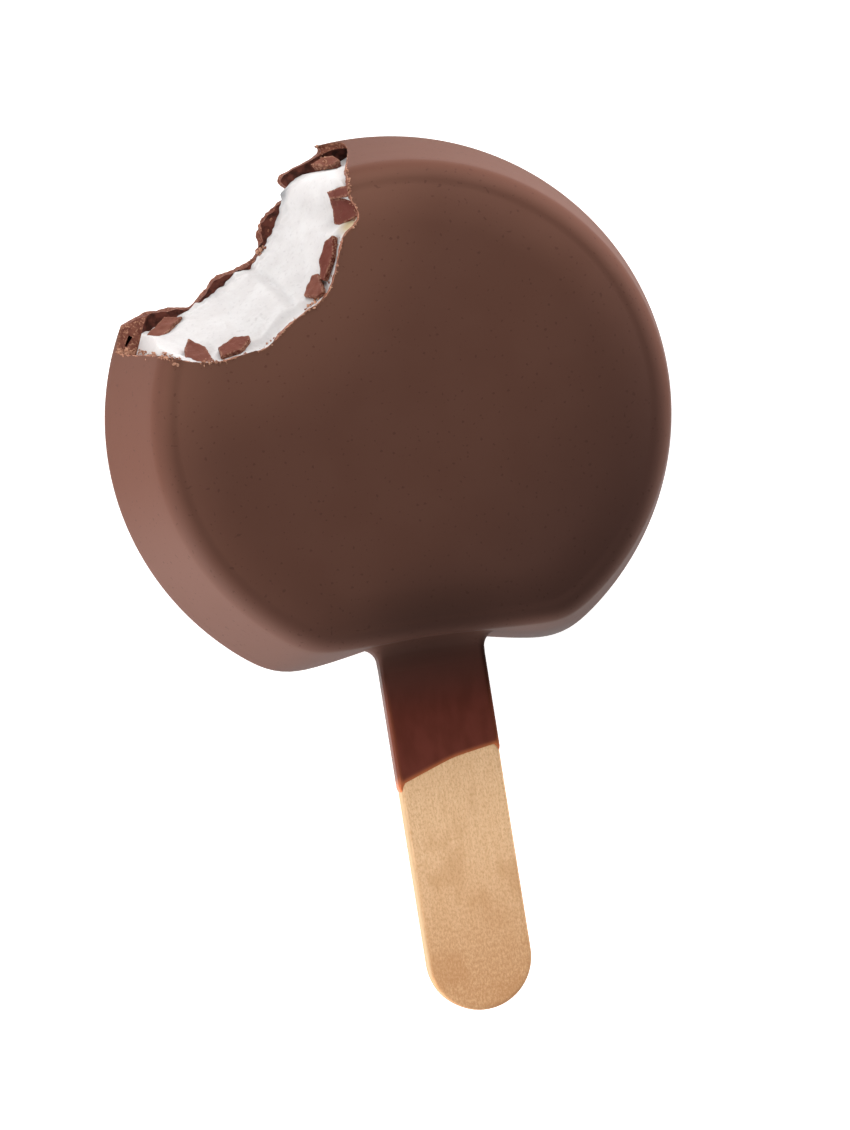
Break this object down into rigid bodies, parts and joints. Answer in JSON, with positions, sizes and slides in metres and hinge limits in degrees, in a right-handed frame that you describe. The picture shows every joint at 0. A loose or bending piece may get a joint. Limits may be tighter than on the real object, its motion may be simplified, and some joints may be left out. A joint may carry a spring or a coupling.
{
  "type": "ice cream bar",
  "caption": "Round chocolate-coated ice cream bar on a flat wooden stick, lying on its back, with a bite that shows the filling and its chocolate pieces.",
  "frame": {"origin": "on the resting back face, under the centre of the disc", "axes": "+Z through the thickness to the front face, +Y along the stick from its tip to the top of the disc, +X to the right of the front face"},
  "size_m": [0.0748, 0.1134, 0.02],
  "materials": {
    "chocolate": "smooth milk chocolate with a soft satin sheen",
    "ice_cream": "frozen vanilla ice cream, matt and softly uneven",
    "wood": "plain birch, unvarnished, fine lengthwise grain"
  },
  "bodies": {
    "root": {"chocolate_coating": "chocolate", "ice_cream": "ice_cream", "stick": "wood"}
  },
  "joints": []
}
